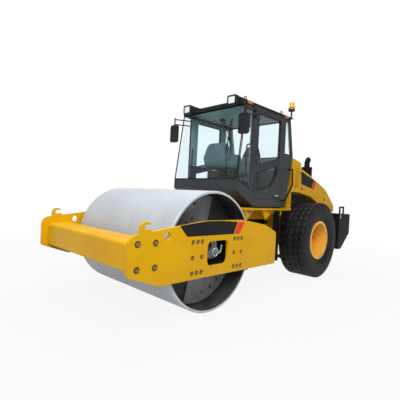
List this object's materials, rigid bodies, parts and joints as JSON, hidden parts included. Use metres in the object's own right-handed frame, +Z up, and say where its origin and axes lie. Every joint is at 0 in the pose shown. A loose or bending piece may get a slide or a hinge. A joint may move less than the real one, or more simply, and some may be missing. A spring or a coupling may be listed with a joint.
{
  "type": "articulated single-drum road roller",
  "caption": "Articulated road roller: smooth steel drum in a yellow yoke, glazed dark cab, tilting yellow hood, black bumper and block-tread drive tyres.",
  "frame": {"origin": "on the ground, under the middle of the machine's length and width", "axes": "+X forward over the drum, +Y to the machine's left, +Z up"},
  "size_m": [6.1, 2.3, 3.2169],
  "materials": {
    "yellow_paint": "gloss",
    "rim_paint": "satin",
    "cab_paint": "satin",
    "black_paint": "satin",
    "drum_steel": "satin",
    "cast_grey": "satin",
    "rod_chrome": "polished",
    "tyre_rubber": "matte",
    "rubber": "matte",
    "tinted_glass": "clear",
    "amber_plastic": "gloss",
    "black_plastic": "satin",
    "seat_cloth": "woven"
  },
  "bodies": {
    "rear": {"rear_frame": "yellow_paint", "rear_axle": "cast_grey", "engine_block": "cast_grey", "engine_cowl": "yellow_paint", "rear_bumper": "black_paint", "access_steps": "black_paint", "grab_bars": "black_paint", "cab_mounts": "rubber", "cab_floor": "cab_paint", "cab_side_left": "cab_paint", "cab_side_right": "cab_paint", "cab_roof": "cab_paint", "cab_glass": "tinted_glass", "operator_seat": "seat_cloth", "seat_base": "black_plastic", "console": "black_plastic", "steering_wheel": "black_plastic", "work_lamps": "black_plastic", "marker_lamps": "amber_plastic", "beacon_base": "black_paint", "beacon_lens": "amber_plastic", "mirrors": "black_paint"},
    "hitch": {"hitch_block": "cast_grey"},
    "front_frame": {"yoke_side_left": "yellow_paint", "yoke_side_right": "yellow_paint", "yoke_front_beam": "yellow_paint", "yoke_rear_beam": "yellow_paint", "scrapers": "yellow_paint", "drum_supports": "cab_paint", "rubber_buffers": "rubber", "hydraulic_motors": "cast_grey"},
    "drum": {"drum_shell": "drum_steel", "drum_ends": "cab_paint", "drum_carriers": "cast_grey"},
    "wheel_left": {"rim_left": "rim_paint", "tyre_left": "tyre_rubber"},
    "wheel_right": {"rim_right": "rim_paint", "tyre_right": "tyre_rubber"},
    "door_left": {"door_left": "cab_paint", "door_left_glass": "tinted_glass"},
    "door_right": {"door_right": "cab_paint", "door_right_glass": "tinted_glass"},
    "hood": {"hood": "yellow_paint", "exhaust_stack": "cast_grey"},
    "barrel_left": {"steering_barrel_left": "black_paint"},
    "barrel_right": {"steering_barrel_right": "black_paint"},
    "rod_left": {"steering_rod_left": "rod_chrome"},
    "rod_right": {"steering_rod_right": "rod_chrome"}
  },
  "joints": [
    {"name": "steer", "type": "hinge", "parent": "rear", "child": "hitch", "pos_m": [0.225, 0, 0.755], "axis": [0, 0, 1], "range_deg": [-35, 35]},
    {"name": "oscillation", "type": "hinge", "parent": "hitch", "child": "front_frame", "pos_m": [0.225, 0, 0.755], "axis": [-1, 0, 0], "range_deg": [-12, 12]},
    {"name": "drum_spin", "type": "hinge", "parent": "front_frame", "child": "drum", "pos_m": [1.75, 0, 0.7615], "axis": [0, 1, 0], "continuous": true},
    {"name": "wheel_left_spin", "type": "hinge", "parent": "rear", "child": "wheel_left", "pos_m": [-1.3, 0.81, 0.715], "axis": [0, 1, 0], "continuous": true},
    {"name": "wheel_right_spin", "type": "hinge", "parent": "rear", "child": "wheel_right", "pos_m": [-1.3, -0.81, 0.715], "axis": [0, 1, 0], "continuous": true},
    {"name": "door_left_hinge", "type": "hinge", "parent": "rear", "child": "door_left", "pos_m": [0.467, 0.734, 1.6], "axis": [0, 0, -1], "range_deg": [0, 85]},
    {"name": "door_right_hinge", "type": "hinge", "parent": "rear", "child": "door_right", "pos_m": [0.467, -0.734, 1.6], "axis": [0, 0, 1], "range_deg": [0, 85]},
    {"name": "hood_hinge", "type": "hinge", "parent": "rear", "child": "hood", "pos_m": [-2.7, 0, 1.255], "axis": [0, -1, 0], "range_deg": [0, 55]},
    {"name": "barrel_left_swing", "type": "hinge", "parent": "rear", "child": "barrel_left", "pos_m": [-0.525, 0.29, 1.0153], "axis": [0, 0, 1], "range_deg": [-1.5, 1.5]},
    {"name": "barrel_right_swing", "type": "hinge", "parent": "rear", "child": "barrel_right", "pos_m": [-0.525, -0.29, 1.0153], "axis": [0, 0, 1], "range_deg": [-1.5, 1.5]},
    {"name": "rod_left_slide", "type": "slide", "parent": "barrel_left", "child": "rod_left", "axis": [0.9996, -0.0267, 0], "range_m": [-0.157, 0.157]},
    {"name": "rod_right_slide", "type": "slide", "parent": "barrel_right", "child": "rod_right", "axis": [0.9996, 0.0267, 0], "range_m": [-0.157, 0.157]}
  ],
  "couplings": [
    {"joint": "barrel_left_swing", "follows": "steer", "ratio": -0.032},
    {"joint": "barrel_right_swing", "follows": "steer", "ratio": -0.032},
    {"joint": "rod_left_slide", "follows": "steer", "m_per_rad": -0.2524},
    {"joint": "rod_right_slide", "follows": "steer", "m_per_rad": 0.2524}
  ]
}
